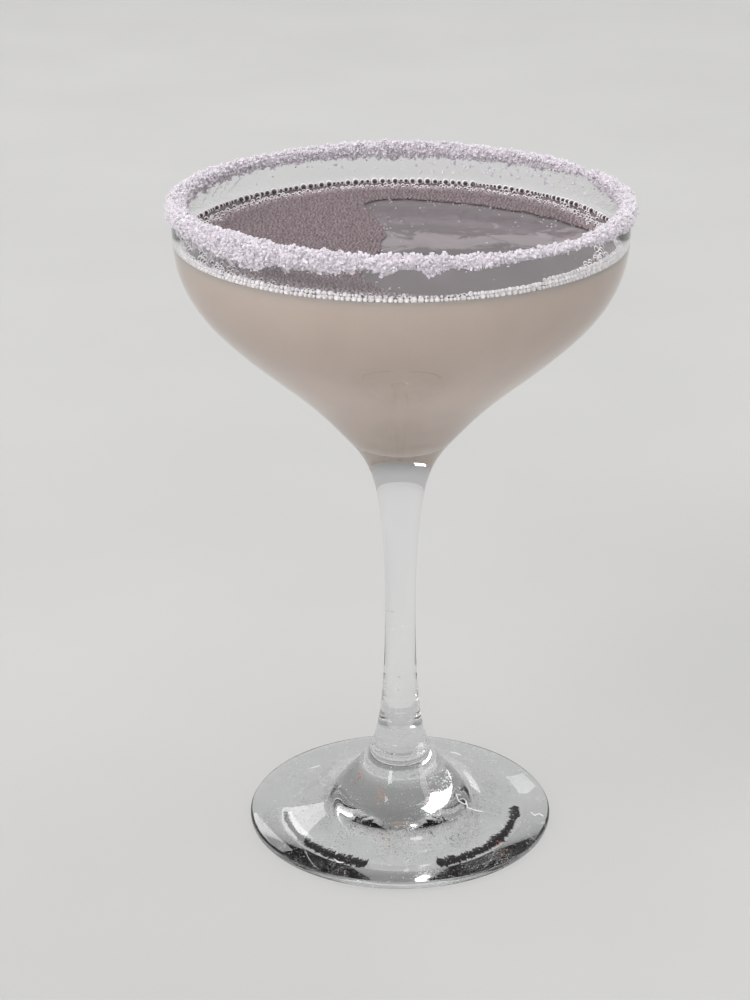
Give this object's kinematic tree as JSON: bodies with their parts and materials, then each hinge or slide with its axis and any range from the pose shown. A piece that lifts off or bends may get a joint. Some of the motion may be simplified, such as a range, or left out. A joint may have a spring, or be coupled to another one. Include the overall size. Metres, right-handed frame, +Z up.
{
  "type": "margarita cocktail in a coupe glass",
  "caption": "Cloudy sour cocktail filling a stemmed coupe glass, with froth on top and a thick crust of salt round the rim.",
  "frame": {"origin": "middle of the foot's contact face, on the table", "axes": "+Z up along the glass's own axis, +X to the right and +Y to the back as seen by the drinker"},
  "size_m": [0.113, 0.1128, 0.1694],
  "materials": {
    "glass": "clear polished",
    "drink": "cloudy liquid",
    "foam": "fine wet froth",
    "salt_rim": "coarse crystals"
  },
  "bodies": {
    "root": {"glass": "glass", "drink": "drink", "foam": "foam", "salt_rim": "salt_rim"}
  },
  "joints": []
}
